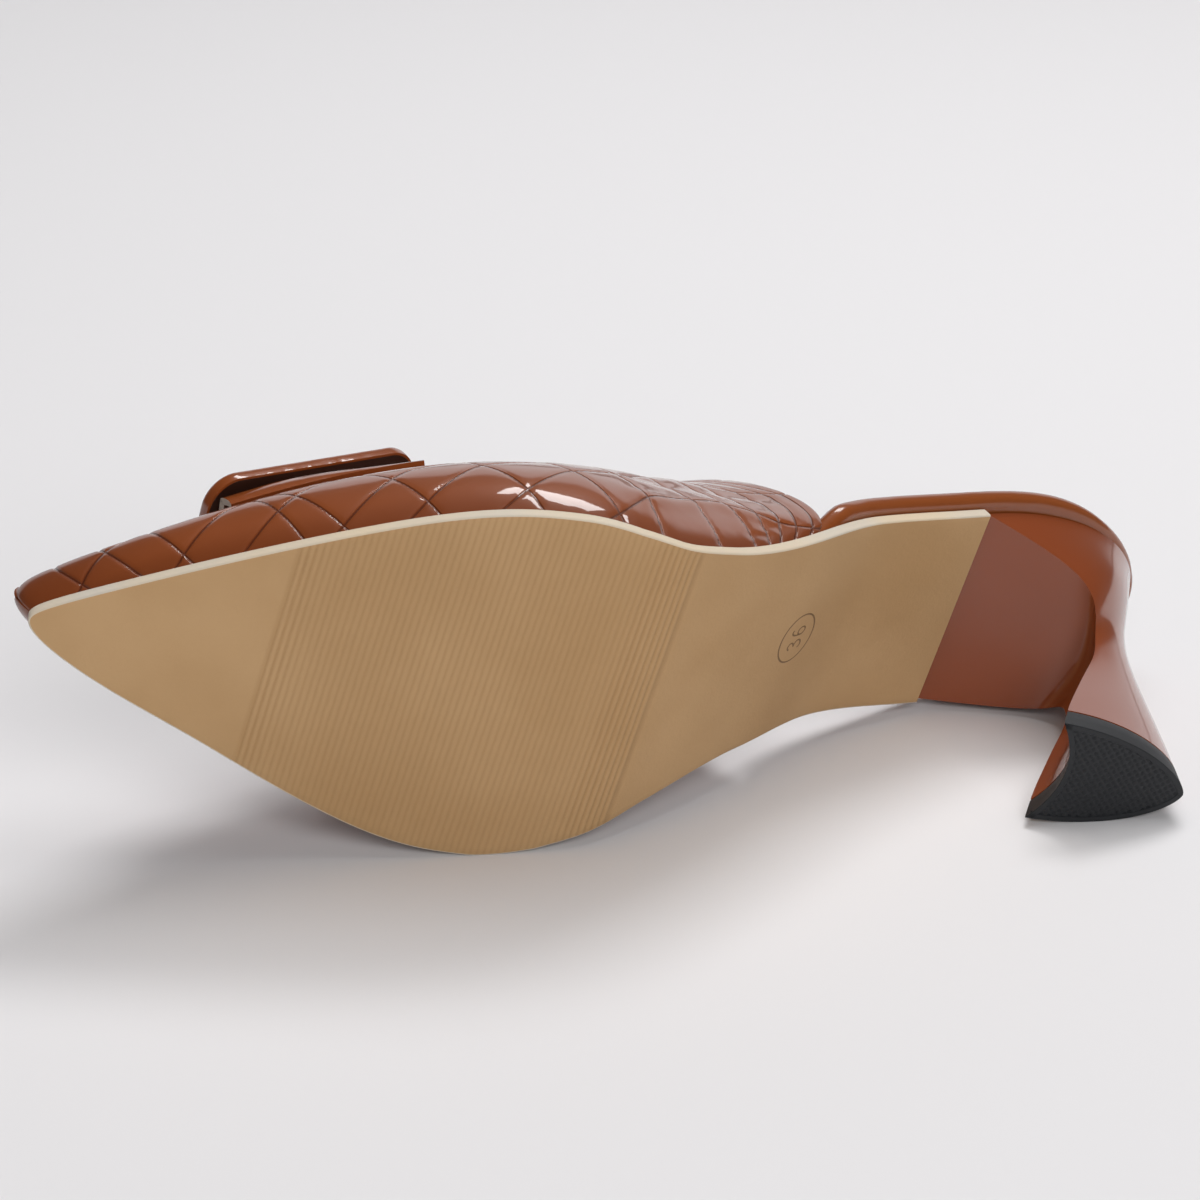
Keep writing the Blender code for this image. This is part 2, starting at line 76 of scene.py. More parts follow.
def steadyThrough(knots, values):  # cubic that never overshoots
    x, y = np.array(knots, float), np.array(values, float)
    h = np.diff(x)  # length of each piece
    slope = np.diff(y) / h
    tangent = np.zeros(len(x))
    for i in range(1, len(x) - 1):
        if slope[i - 1] * slope[i] > 0:
            w1, w2 = 2 * h[i] + h[i - 1], h[i] + 2 * h[i - 1]
            tangent[i] = (w1 + w2) / (w1 / slope[i - 1] + w2 / slope[i])
    tangent[0], tangent[-1] = slope[0], slope[-1]

    def value(at):
        at = np.clip(at, x[0], x[-1])
        i = np.clip(np.searchsorted(x, at, side="right") - 1, 0, len(x) - 2)
        t = (at - x[i]) / h[i]
        return (y[i] * (1 + 2 * t) * (1 - t) ** 2 + tangent[i] * h[i] * t * (1 - t) ** 2
                + y[i + 1] * t * t * (3 - 2 * t) + tangent[i + 1] * h[i] * t * t * (t - 1))

    return value


def turnOf(share):  # angle whose cosine runs along the shoe, so that round ends get close steps
    return np.arccos(1 - 2 * np.clip(share, 0, 1))


def ease(share):  # 0 to 1 with level ends
    share = np.clip(share, 0, 1)
    return share * share * (3 - 2 * share)


# Outline of the tread: share of the reach, lateral and medial edge as shares of the local width
outline = (
    (0.0, 0.0, 0.0), (0.032, 0.290, -0.266), (0.104, 0.477, -0.443), (0.203, 0.519, -0.481),
    (0.299, 0.532, -0.452), (0.380, 0.551, -0.449), (0.465, 0.517, -0.470), (0.567, 0.478, -0.521),
    (0.653, 0.444, -0.547), (0.740, 0.341, -0.494), (0.837, 0.190, -0.379), (0.924, 0.041, -0.276),
    (0.984, -0.071, -0.183), (1.0, -0.123, -0.123),
)
# Height of the tread behind the ball and at the toe, as shares of the heel's height and the toe spring
rise = (
    (0.0, 1.0), (0.032, 0.976), (0.104, 0.896), (0.203, 0.754), (0.299, 0.585),
    (0.380, 0.345), (0.465, 0.121), (0.520, 0.018), (0.555, 0.0),
)
spring = ((0.605, 0.0), (0.653, 0.12), (0.740, 0.42), (0.837, 0.62), (0.924, 0.80), (1.0, 1.0))

turns = turnOf([row[0] for row in outline])
lateralShare = curveThrough(turns, [row[1] for row in outline])
medialShare = curveThrough(turns, [row[2] for row in outline])
localWidth = steadyThrough((0.0, 0.203, 0.380, 0.610, 1.0),
                           (last["seat"], last["seat"], last["waist"], last["ball"], last["ball"]))
riseShare = steadyThrough([row[0] for row in rise], [row[1] for row in rise])
springShare = steadyThrough([row[0] for row in spring], [row[1] for row in spring])


def edgeAt(share, side):
    share = np.asarray(share, float)
    part = lateralShare if side > 0 else medialShare
    return np.stack([share * last["reach"], part(turnOf(share)) * localWidth(share)], -1)


def treadAt(x):
    share = np.asarray(x, float) / last["reach"]
    back = last["heelHeight"] * riseShare(share)
    front = last["toeSpring"] * springShare(share)
    return np.where(share < last["treadBack"], back, np.where(share < last["treadFront"], 0.0, front))


def onTread(plan, height):  # plan points raised square to the tread
    plan = np.asarray(plan, float)
    x = np.clip(plan[..., 0], 0, last["reach"])
    low, high = np.maximum(x - last["slopeStep"], 0), np.minimum(x + last["slopeStep"], last["reach"])
    slope = (treadAt(high) - treadAt(low)) / (high - low)
    long = np.sqrt(1 + slope ** 2)
    height = np.asarray(height, float)
    return np.stack([plan[..., 0] - slope / long * height, plan[..., 1] + 0 * height,
                     treadAt(x) + height / long], -1)


def outwardOf(points, closed):  # unit normals in plan of a run of points that goes round clockwise
    if closed:
        along = np.roll(points, -1, 0) - np.roll(points, 1, 0)
    else:
        along = np.gradient(points, axis=0)
    along /= np.linalg.norm(along, axis=-1, keepdims=True) + 1e-12
    return np.stack([-along[..., 1], along[..., 0]], -1)


def between(left, right, across):  # rungs from one edge to the other
    return left[:, None] * (1 - across)[None, :, None] + right[:, None] * across[None, :, None]


def closedGrid(rings):  # rings of places side by side, each closed by its first point
    spots = np.stack(rings, 1)
    return np.concatenate([spots, spots[:1]], 0)


def atHeight(plan, height):
    return np.concatenate([plan, np.full((len(plan), 1), height)], 1)


# Builds one finish; extra(nodes, links, shader, coordinates) adds its pattern
def newFinish(name, color, roughness, coat=0.0, coatRoughness=0.05, extra=None, specular=0.5):
    finish = bpy.data.materials.new(name)
    finish.use_nodes = True
    nodes, links = finish.node_tree.nodes, finish.node_tree.links
    shader = nodes["Principled BSDF"]
    shader.inputs["Base Color"].default_value = (*color, 1)
    shader.inputs["Roughness"].default_value = roughness
    shader.inputs["Coat Weight"].default_value = coat
    shader.inputs["Coat Roughness"].default_value = coatRoughness
    shader.inputs["Specular IOR Level"].default_value = specular
    if extra:
        extra(nodes, links, shader, nodes.new("ShaderNodeTexCoord").outputs["Object"])
    return finish


def readMap(nodes, links, name):  # the stored pair of numbers, by axis
    stored = nodes.new("ShaderNodeUVMap")
    stored.uv_map = name
    split = nodes.new("ShaderNodeSeparateXYZ")
    links.new(stored.outputs["UV"], split.inputs[0])
    return split.outputs


def addNoise(nodes, links, at, scale, detail=2.0):
    made = nodes.new("ShaderNodeTexNoise")
    made.inputs["Scale"].default_value = scale
    made.inputs["Detail"].default_value = detail
    links.new(at, made.inputs["Vector"])
    return made.outputs["Fac"]


def addMath(nodes, links, kind, first, second=None):
    made = nodes.new("ShaderNodeMath")
    made.operation = kind
    for socket, given in zip(made.inputs, (first, second)):
        if isinstance(given, (int, float)):
            socket.default_value = given
        elif given is not None:
            links.new(given, socket)
    return made.outputs[0]


def addRange(nodes, links, fac, fromMin, fromMax, toMin=0.0, toMax=1.0):
    made = nodes.new("ShaderNodeMapRange")
    made.interpolation_type = "SMOOTHSTEP"
    links.new(fac, made.inputs["Value"])
    limits = {"From Min": fromMin, "From Max": fromMax, "To Min": toMin, "To Max": toMax}
    for name, value in limits.items():
        made.inputs[name].default_value = value
    return made.outputs["Result"]


def addBump(nodes, links, height, distance, strength=1.0, before=None):
    made = nodes.new("ShaderNodeBump")
    made.inputs["Strength"].default_value = strength
    made.inputs["Distance"].default_value = distance
    links.new(height, made.inputs["Height"])
    if before:
        links.new(before, made.inputs["Normal"])
    return made.outputs["Normal"]


def addMix(nodes, links, fac, first, second):  # first is a colour or the output of a node
    made = nodes.new("ShaderNodeMix")
    made.data_type = "RGBA"
    links.new(fac, made.inputs[0])
    if isinstance(first, tuple):
        made.inputs[6].default_value = (*first, 1)
    else:
        links.new(first, made.inputs[6])
    made.inputs[7].default_value = (*second, 1)
    return made.outputs[2]


def setNormal(links, shader, normal):
    for name in ("Normal", "Coat Normal"):
        links.new(normal, shader.inputs[name])


brown = {
    "patent": (0.222, 0.054, 0.013), "patentDark": (0.090, 0.019, 0.006), "wrap": (0.225, 0.058, 0.014),
    "lacquer": (0.225, 0.050, 0.014), "tan": (0.430, 0.262, 0.122), "tanLight": (0.500, 0.318, 0.160),
    "cream": (0.640, 0.520, 0.370), "ribGrooveShade": (0.330, 0.190, 0.080), "lining": (0.400, 0.255, 0.140),
    "rubber": (0.016, 0.017, 0.019), "frameShade": (0.030, 0.012, 0.008), "taupe": (0.120, 0.085, 0.065),
    "cutEdge": (0.560, 0.510, 0.440), "mark": (0.190, 0.105, 0.045),
}


# Tone and bump of the embossed patent: groove in millimetres from a line, the reach of the darkened band
# from the foot in tenths of a metre, toe as a share of the vamp's length; the band along the foot and the
# toe are darkened as painted shade
patentLook = {
    "groove": (0.05, 0.36), "grooveDepth": 0.00022, "grooveStrength": 0.9, "grooveShadeRange": (0.02, 0.30),
    "footShadeReach": 0.07, "footShadeShare": 0.42, "toe": (0.78, 0.98), "toeShadeShare": 0.45,
    "waveScale": 95, "waveDepth": 0.0006, "waveStrength": 0.30,
}


def patentPattern(nodes, links, shader, at):
    count, pitch, place = (readMap(nodes, links, name) for name in ("lattice", "pitch", "place"))
    away = []
    for axis in ("X", "Y"):
        near = addMath(nodes, links, "PINGPONG", count[axis], 0.5)
        away.append(addMath(nodes, links, "MULTIPLY", near, pitch[axis]))
    nearest = addMath(nodes, links, "MINIMUM", *away)
    line = addRange(nodes, links, nearest, *patentLook["groove"])
    # painted shade in the lattice grooves: the colour darkens towards patentDark near each line
    shade = addRange(nodes, links, nearest, *patentLook["grooveShadeRange"], 1.0, 0.0)
    tone = addMix(nodes, links, shade, brown["patent"], brown["patentDark"])
    # painted shade along both foot lines, where the upper meets the sole, and towards the toe; the larger
    # of the two darkens the patent colour
    footShade = addRange(nodes, links, place["X"], 0.0, patentLook["footShadeReach"],
                      patentLook["footShadeShare"], 0.0)
    toe = addRange(nodes, links, place["Y"], *patentLook["toe"], 0.0, patentLook["toeShadeShare"])
    deep = addMix(nodes, links, addMath(nodes, links, "MAXIMUM", footShade, toe), tone, brown["patentDark"])
    links.new(deep, shader.inputs["Base Color"])
    wavy = addNoise(nodes, links, at, patentLook["waveScale"])
    soft = addBump(nodes, links, wavy, patentLook["waveDepth"], patentLook["waveStrength"])
    setNormal(links, shader, addBump(
        nodes, links, line, patentLook["grooveDepth"], patentLook["grooveStrength"], soft))


def smoothPattern(scale, distance, strength):
    def pattern(nodes, links, shader, at):
        wavy = addNoise(nodes, links, at, scale)
        setNormal(links, shader, addBump(nodes, links, wavy, distance, strength))
    return pattern


# Grain of plain leather: broad patches between two tones, and pebbles with finer noise on them; the rib
# share is how far the grooves of the sole's ribs are darkened, as painted shade
grainLook = {"patchScale": 22, "patchRange": (0.3, 0.7), "detail": 3.0, "finer": 2.2, "ribShadeShare": 0.55}


def grainPattern(first, second, scale, distance, strength):
    def pattern(nodes, links, shader, at):
        broad = addNoise(nodes, links, at, grainLook["patchScale"], grainLook["detail"])
        patches = addRange(nodes, links, broad, *grainLook["patchRange"])
        links.new(addMix(nodes, links, patches, first, second), shader.inputs["Base Color"])
        pebble = nodes.new("ShaderNodeTexVoronoi")
        pebble.feature = "SMOOTH_F1"
        pebble.inputs["Scale"].default_value = scale
        links.new(at, pebble.inputs["Vector"])
        fine = addNoise(nodes, links, at, scale * grainLook["finer"], grainLook["detail"])
        both = addMath(nodes, links, "ADD", pebble.outputs["Distance"], fine)
        links.new(addBump(nodes, links, both, distance, strength), shader.inputs["Normal"])
    return pattern


def solePattern(nodes, links, shader, at):
    grainPattern(brown["tan"], brown["tanLight"], 900, 0.00010, 0.55)(nodes, links, shader, at)
    plain = shader.inputs["Base Color"].links[0].from_socket
    # painted shade in the rib grooves: the colour darkens where the ribs are cut deepest
    depth = readMap(nodes, links, "rib")["X"]
    share = addMath(nodes, links, "MULTIPLY", depth, grainLook["ribShadeShare"])
    links.new(addMix(nodes, links, share, plain, brown["ribGrooveShade"]), shader.inputs["Base Color"])


# Name in the file, colour, roughness, coat and its roughness, pattern, specular
finishes = {
    "patent": newFinish("embossedPatent", brown["patent"], 0.42, 0.9, 0.05, patentPattern, 0.2),
    "smoothPatent": newFinish("smoothPatent", brown["patent"], 0.28, 0.9, 0.06,
                              smoothPattern(160, 0.0006, 0.5), 0.2),
    "wrap": newFinish("wrappedEdge", brown["wrap"], 0.33, 0.75, 0.10,
                      smoothPattern(75, 0.0009, 0.4), 0.2),
    "lacquer": newFinish("heelLacquer", brown["lacquer"], 0.30, 1.0, 0.03,
                         smoothPattern(38, 0.0004, 0.35), 0.2),
    "tan": newFinish("tanLeather", brown["tan"], 0.68, 0.0, 0.1, solePattern, 0.3),
    "cream": newFinish("creamEdge", brown["cream"], 0.62, 0.0, 0.1,
                       grainPattern(brown["cream"], brown["cutEdge"], 1400, 0.00008, 0.5), 0.3),
    "lining": newFinish("liningLeather", brown["lining"], 0.72, 0.0, 0.1,
                        grainPattern(brown["lining"], brown["tan"], 1100, 0.00008, 0.5), 0.3),
    "rubber": newFinish("tipRubber", brown["rubber"], 0.55, 0.0, 0.1,
                        smoothPattern(900, 0.00005, 0.4), 0.4),
    # the frame's underside finish is a near-black painted shade
    "frameShade": newFinish("frameUnderShade", brown["frameShade"], 0.55),
    "taupe": newFinish("bandInside", brown["taupe"], 0.8, 0.0, 0.1,
                       grainPattern(brown["taupe"], brown["patentDark"], 1100, 0.0001, 0.5), 0.3),
    "cutEdge": newFinish("bandEdge", brown["cutEdge"], 0.7),
    "mark": newFinish("sizeMark", brown["mark"], 0.6),
}
print("finishes made")


def gridLayers(bm):
    return bm.verts.layers.int["column"], bm.verts.layers.int["row"]


# A grid whose vertices are moved to the given places and remember their column and row
def gridPiece(spots):
    columns, rows = spots.shape[0] - 1, spots.shape[1] - 1
    bm = bmesh.new()
    bmesh.ops.create_grid(bm, x_segments=columns, y_segments=rows, size=0.5)
    bm.verts.ensure_lookup_table()
    for name in ("column", "row"):
        bm.verts.layers.int.new(name)
    column, row = gridLayers(bm)
    for vert in bm.verts:
        i, j = round((vert.co.x + 0.5) * columns), round((vert.co.y + 0.5) * rows)
        vert[column], vert[row] = i, j
        vert.co = spots[i, j]
    return bm


def lineOf(bm, held, number, order):  # vertices with one number in a layer, in the other layer's order
    return sorted((vert for vert in bm.verts if vert[held] == number), key=lambda vert: vert[order])


def middleOf(face, layer):
    return sum(vert[layer] for vert in face.verts) / len(face.verts)


def storeMap(bm, name, values):  # values[i, j] is a pair for each vertex of the grid
    layer = bm.loops.layers.uv.new(name)
    column, row = gridLayers(bm)
    for face in bm.faces:
        for loop in face.loops:
            loop[layer].uv = values[loop.vert[column], loop.vert[row]]


def addObject(name, data):
    made = bpy.data.objects.new(name, data)
    bpy.context.scene.collection.objects.link(made)
    return made


# Merges doubled points, lays the piece down and gives it its finishes and its names in the frame
def finishPiece(bm, name, finishNames, stands=(), outward=True, merge=1e-6, creaseAngle=40):
    bmesh.ops.remove_doubles(bm, verts=bm.verts, dist=merge)
    if outward:
        bmesh.ops.recalc_face_normals(bm, faces=bm.faces)
    bmesh.ops.transform(bm, matrix=lying, verts=bm.verts)
    mesh = bpy.data.meshes.new(name)
    bm.to_mesh(mesh)
    bm.free()
    for extra in ("column", "row"):
        if extra in mesh.attributes:
            mesh.attributes.remove(mesh.attributes[extra])
    mesh.shade_smooth()
    mesh.set_sharp_from_angle(angle=math.radians(creaseAngle))
    piece = addObject(name, mesh)
    for finishName in finishNames:
        mesh.materials.append(finishes[finishName])
    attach(piece, "root")
    if stands:
        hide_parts(*stands)
    print(name, len(mesh.polygons), "faces")
    return piece


# Unit normals of a grid of places, pointing away from a line of points
def surfaceNormals(spots, outsideOf):
    across = np.cross(np.gradient(spots, axis=0), np.gradient(spots, axis=1))
    across /= np.linalg.norm(across, axis=-1, keepdims=True) + 1e-15
    if ((spots - outsideOf) * across).sum() < 0:
        across = -across
    return across


# Outsole: tan below with cross ribs in the forefoot, a cream cut edge all round
sole = {
    "thickness": 0.0025, "breast": 0.0435, "softened": 0.00035,
    "ribBack": 0.1166, "ribFront": 0.1894, "ribPitch": 0.001293, "ribDepth": 0.00024,
    "deepBack": 0.011, "deepFront": 0.006, "deepFade": 0.004, "deepFrontShare": 0.7, "plainDepth": 0.6,
    "across": 34, "plainSteps": 70, "ribSteps": 8, "toeSteps": 90, "edgeFade": 0.012, "bevel": 0.3,
}


def ribRelief(x):  # depth of the ribs at x, 0 outside the block
    inside = (x > sole["ribBack"]) & (x < sole["ribFront"])
    wave = 0.5 + 0.5 * np.cos(2 * math.pi * (x - sole["ribBack"]) / sole["ribPitch"])
    back = ease((sole["ribBack"] + sole["deepBack"] - x) / sole["deepFade"])
    front = ease((x - sole["ribFront"] + sole["deepFront"]) / sole["deepFade"])
    ends = np.maximum(back, sole["deepFrontShare"] * front)  # cut deepest at both ends of the block
    return np.where(inside, wave ** 2 * (sole["plainDepth"] + (1 - sole["plainDepth"]) * ends), 0.0)


def buildSole():
    start = sole["breast"] / last["reach"]
    ribs = np.arange(sole["ribBack"], sole["ribFront"], sole["ribPitch"] / sole["ribSteps"]) / last["reach"]
    plainBack = np.linspace(start, ribs[0], sole["plainSteps"])[:-1]
    ahead = np.linspace(0, 1, sole["toeSteps"] + 1)
    toeTurn = turnOf(ribs[-1]) + (math.pi - turnOf(ribs[-1])) * ahead
    plainFront = (1 - np.cos(toeTurn)) / 2
    shares = np.concatenate([plainBack, ribs, plainFront[1:]])
    count = len(shares)
    loop = np.concatenate([edgeAt(shares, 1), edgeAt(shares, -1)[-2::-1]])
    outward = outwardOf(loop, False)
    soft, thick, bevel = sole["softened"], sole["thickness"], sole["bevel"]

    def sided(inset):  # the two edges moved in, the toe point shared
        moved = loop - outward * inset
        return moved[:count], moved[count - 1:][::-1]

    across = np.linspace(0, 1, sole["across"] + 1)
    bottom = between(*sided(soft), across)
    relief = ribRelief(bottom[..., 0])
    fade = np.minimum(1, np.minimum(across, 1 - across) / sole["edgeFade"])
    tread = onTread(bottom, sole["ribDepth"] * relief * fade[None, :])
    # inset and height of the cut edge, from the tread to the top
    profile = ((bevel * soft, bevel * soft), (0, soft), (0, thick - soft),
               (bevel * soft, thick - bevel * soft), (soft, thick))
    lateralRows, medialRows = [], []
    for inset, height in profile:
        for rows, edge in zip((lateralRows, medialRows), sided(inset)):
            rows.append(onTread(edge, np.full(count, height)))
    spots = np.concatenate([np.stack(lateralRows[::-1], 1), tread, np.stack(medialRows, 1)], 1)
    bm = gridPiece(spots)
    edgeRows = len(profile)
    rib = np.zeros((*spots.shape[:2], 2))
    rib[:, edgeRows:-edgeRows, 0] = relief
    storeMap(bm, "rib", rib)
    column, row = gridLayers(bm)
    for face in bm.faces:
        face.material_index = 0 if edgeRows < middleOf(face, row) < edgeRows + sole["across"] else 1
    # the top is closed from edge to edge, and the back with one face
    top, low = (lineOf(bm, row, number, column) for number in (0, spots.shape[1] - 1))
    for i in range(count - 2):
        bm.faces.new((top[i], top[i + 1], low[i + 1], low[i]))
    back = bm.faces.new(lineOf(bm, column, 0, row))
    back.material_index = 1
    finishPiece(bm, "outsoleLeather", ("tan", "cream"), ("outsole",), creaseAngle=55)


buildSole()


# Insole: board wrapped in brown leather, rolled at its edge, with a soft sock on top
insole = {
    "floor": 0.0028, "thickness": 0.0044, "proud": 0.0020, "inside": -0.0036,
    "start": 0.325, "drawnIn": 0.3607, "toe": 0.930, "nose": 0.70, "steps": 170, "noseSteps": 16,
    "rollReach": 0.46, "rollSteps": 13,
    "sockInset": 0.0042, "sockRise": 0.0006, "sockLift": 0.00005, "sockFlatness": 6, "sockRungs": 26,
}


def insoleOutline():
    part = np.linspace(0, 1, insole["steps"] + 1)
    shares = insole["toe"] * (1 - np.cos(math.pi / 2 * part))
    offset = insole["proud"] + (insole["inside"] - insole["proud"]) * ease(
        (shares - insole["start"]) / (insole["drawnIn"] - insole["start"]))
    edges = []
    for side in (1, -1):
        edge = edgeAt(shares, side)
        along = np.gradient(edge, axis=0)
        along[0] = (0, side)
        along /= np.linalg.norm(along, axis=-1, keepdims=True)
        edges.append(edge + np.stack([-along[:, 1], along[:, 0]], -1) * side * offset[:, None])
    lateral, medial = edges
    middle, across = (lateral[-1] + medial[-1]) / 2, (lateral[-1] - medial[-1]) / 2
    ahead = np.array([across[1], -across[0]]) * insole["nose"]
    angles = math.pi * np.arange(1, insole["noseSteps"]) / insole["noseSteps"]
    nose = middle + across * np.cos(angles)[:, None] + ahead * np.sin(angles)[:, None]
    return np.concatenate([lateral, nose, medial[:0:-1]])


def buildInsole():
    loop = insoleOutline()
    outward = outwardOf(loop, True)
    thick = insole["thickness"]
    rings = []
    for angle in np.linspace(-math.pi / 2, math.pi / 2, insole["rollSteps"]):  # from below to above
        inset = insole["rollReach"] * (1 - math.cos(angle))
        level = 0.5 + 0.5 * math.sin(angle)
        height = np.full(len(loop), insole["floor"] + level * thick)
        rings.append(onTread(loop - outward * inset * thick, height))
    bm = gridPiece(closedGrid(rings))
    row = bm.verts.layers.int["row"]
    bmesh.ops.remove_doubles(bm, verts=bm.verts, dist=1e-6)
    for level in (0, len(rings) - 1):
        rim = [edge for edge in bm.edges if edge.is_boundary and edge.verts[0][row] == level]
        bmesh.ops.holes_fill(bm, edges=rim, sides=0)
    bmesh.ops.triangulate(bm, faces=[face for face in bm.faces if len(face.verts) > 4])
    finishPiece(bm, "wrappedInsole", ("wrap",), ("insole",), creaseAngle=50)


buildInsole()


def buildSock():
    loop = insoleOutline()
    moved = loop - outwardOf(loop, True) * insole["sockInset"]
    ahead = np.arange(insole["steps"] + insole["noseSteps"] // 2 + 1)
    across = np.linspace(0, 1, insole["sockRungs"] + 1)
    plan = between(moved[ahead], moved[-ahead % len(moved)], across)
    top = insole["floor"] + insole["thickness"] + insole["sockLift"]
    puff = insole["sockRise"] * np.sqrt(np.clip(1 - (2 * across - 1) ** insole["sockFlatness"], 0, 1))
    bm = gridPiece(onTread(plan, top + np.broadcast_to(puff, plan.shape[:2])))
    finishPiece(bm, "sockLining", ("lining",), merge=1e-5, creaseAngle=60)


buildSock()


# Upper: its chart runs from the foot on the outer side over the crest to the foot on the inner side
upper = {
    "back": 0.362, "throat": 0.500, "nose": 0.925, "instep": 0.0670, "margin": 0.0006, "wall": 0.0018,
    "foot": 0.00255, "columns": 330, "rows": 110, "liningColumns": 120, "liningRows": 40,
    "slopeStep": 0.004, "coreHeight": 0.008, "coreAside": -0.004, "foldSteps": 7,
    "grooveDepth": 0.00026, "grooveWidth": 0.42, "pillow": 0.00005, "pillowWidth": 1.8,
    "plainEdge": 1.5, "widestPitch": 60, "placeUnit": 100,
}
vampRows = np.array((
    # reach, crest height, crest offset, lateral flare, medial flare, rise handle, crown handle
    (0.362, 1.00, -0.030, 0.100, 0.060, 0.21, 0.51),
    (0.500, 0.97, -0.040, 0.072, 0.080, 0.42, 0.61),
    (0.600, 0.825, -0.060, 0.091, 0.135, 0.30, 0.62),
    (0.700, 0.635, -0.080, 0.107, 0.128, 0.40, 0.64),
    (0.800, 0.45, -0.100, 0.134, 0.115, 0.56, 0.62),
    (0.925, 0.25, -0.125, 0.126, 0.130, 0.65, 0.60),
    (1.000, 0.18, -0.125, 0.118, 0.135, 0.70, 0.56),
))
vampCurves = [curveThrough(vampRows[:, 0], vampRows[:, i]) for i in range(1, 7)]


def crestAt(share):
    plan = np.stack([share * last["reach"], 0 * share], -1)
    base = onTread(plan, np.full(share.shape, sole["thickness"]))
    base[..., 1] += vampCurves[1](share) * last["ball"]
    base[..., 2] += vampCurves[0](share) * upper["instep"]
    return base


def vampRib(share, side):  # the four handles of each rib
    span = (share - upper["back"]) / (1 - upper["back"])
    crestShare = (share + (upper["throat"] - upper["back"]) * (1 - span) ** 3
                  - (1 - upper["nose"]) * span ** 3)
    top = crestAt(crestShare)
    step = crestAt(crestShare + upper["slopeStep"]) - crestAt(crestShare - upper["slopeStep"])
    slope = step[..., 2] / step[..., 0]
    plan = edgeAt(share, side)
    inward = top[..., :2] - plan
    inward /= np.linalg.norm(inward, axis=-1, keepdims=True)
    foot = onTread(plan + inward * upper["margin"], np.full(share.shape, upper["foot"]))
    flare = vampCurves[2 if side > 0 else 3](share) * last["ball"]
    across = np.linalg.norm(top[..., :2] - foot[..., :2], axis=-1)
    handle1 = foot.copy()
    handle1[..., :2] -= inward * flare[..., None]
    handle1[..., 2] += vampCurves[4](share) * (top[..., 2] - foot[..., 2])
    handle2 = top.copy()
    reach = (vampCurves[5](share) * across)[..., None]
    handle2[..., :2] -= inward * reach
    handle2[..., 2] -= slope * inward[..., 0] * reach[..., 0]
    return foot, handle1, handle2, top


def alongRib(rib, at):  # cubic curve through the handles
    foot, handle1, handle2, top = (part[:, None] for part in rib)
    t = at[None, :, None]
    return (foot * (1 - t) ** 3 + 3 * handle1 * t * (1 - t) ** 2
            + 3 * handle2 * t * t * (1 - t) + top * t ** 3)


def vampChart(columns, rows):
    shares = upper["back"] + (1 - upper["back"]) * np.sin(math.pi / 2 * np.linspace(0, 1, columns + 1))
    at = np.linspace(0, 1, rows + 1)
    lateral = alongRib(vampRib(shares, 1), at)
    medial = alongRib(vampRib(shares, -1), at[::-1])
    medial[-1] = lateral[-1, ::-1]
    return np.concatenate([lateral, medial[:, 1:]], 1)


def innerLine(spots):  # a line of points inside the shoe, level with each column
    x = spots[:, :, 0].mean(1)
    low = treadAt(np.clip(x, 0, last["reach"])) + upper["coreHeight"]
    return np.stack([x, 0 * x + upper["coreAside"], low], -1)[:, None]


# Lattice lines on the vamp: place along the lateral foot and lean, in millimetres
forwardLines = np.array((
    (-54, 0.3), (-42, 0.3), (-30, 0.3), (-18, 0.2), (-7, 0.0), (2.8, -0.05), (8.0, -0.10), (12.6, 0.0),
    (16.0, 0.22), (20.5, 0.33), (31.5, 0.28), (47.4, 0.16), (55.4, 0.38), (70.9, 0.47), (89.6, 0.60),
    (106.6, 0.70), (114.7, 0.51), (135.2, 0.54), (144.8, 0.57), (154.5, 0.50), (168.0, 0.5), (182.0, 0.5),
))
backwardLines = np.array((
    -8, 12, 36, 59, 78.9, 95.7, 109, 126.3, 139, 157, 174, 191, 208, 225, 242, 259, 276), float)
# How the lines lean above the foot, and the lines that run along the rear wing, in millimetres
latticeLean = {
    "leanUpTo": 20, "forwardBeyond": 0.3, "backward": 0.85, "steepFrom": 18, "steepSpan": 22, "steep": 1.6,
    "wingAlong": (-1, 13.6, 21.2, 28, 38.2, 48), "wingUp": (1, 7.6, 14, 17.3, 17.4, 13.5),
    "wingCount": 3, "wingPitch": 18, "wingEnd": 56, "wingFade": 20,
}


def lattice(along, up):  # two rising counts whose whole numbers are the lines
    lean = latticeLean
    shown, beyond = np.minimum(up, lean["leanUpTo"]), np.maximum(up - lean["leanUpTo"], 0)
    starts, leans = forwardLines.T[..., None, None]
    places = starts + leans * shown + lean["forwardBeyond"] * beyond
    first = sum(np.clip((along - low) / (high - low), 0, 1) for low, high in zip(places[:-1], places[1:]))
    aboveSteep = lean["steepFrom"] + lean["steepSpan"]
    moved = (along + lean["backward"] * np.minimum(up, lean["steepFrom"])
             + lean["steep"] * np.clip(up - lean["steepFrom"], 0, lean["steepSpan"])
             + lean["backward"] * np.maximum(up - aboveSteep, 0))
    second = np.interp(moved, backwardLines, np.arange(len(backwardLines)))
    wing = np.interp(along, lean["wingAlong"], lean["wingUp"])
    onWing = lean["wingCount"] + (up - wing) / lean["wingPitch"]
    return first, second + (onWing - second) * ease((lean["wingEnd"] - along) / lean["wingFade"])


def perMillimetre(spots, count):  # how fast a count rises over the surface
    du, dv = np.gradient(spots, axis=0) * 1000, np.gradient(spots, axis=1) * 1000
    e, f, g = (du * du).sum(-1), (du * dv).sum(-1), (dv * dv).sum(-1)
    cu, cv = np.gradient(count, axis=0), np.gradient(count, axis=1)
    squared = (g * cu ** 2 - 2 * f * cu * cv + e * cv ** 2) / np.maximum(e * g - f * f, 1e-9)
    return np.sqrt(np.maximum(squared, 1e-9))
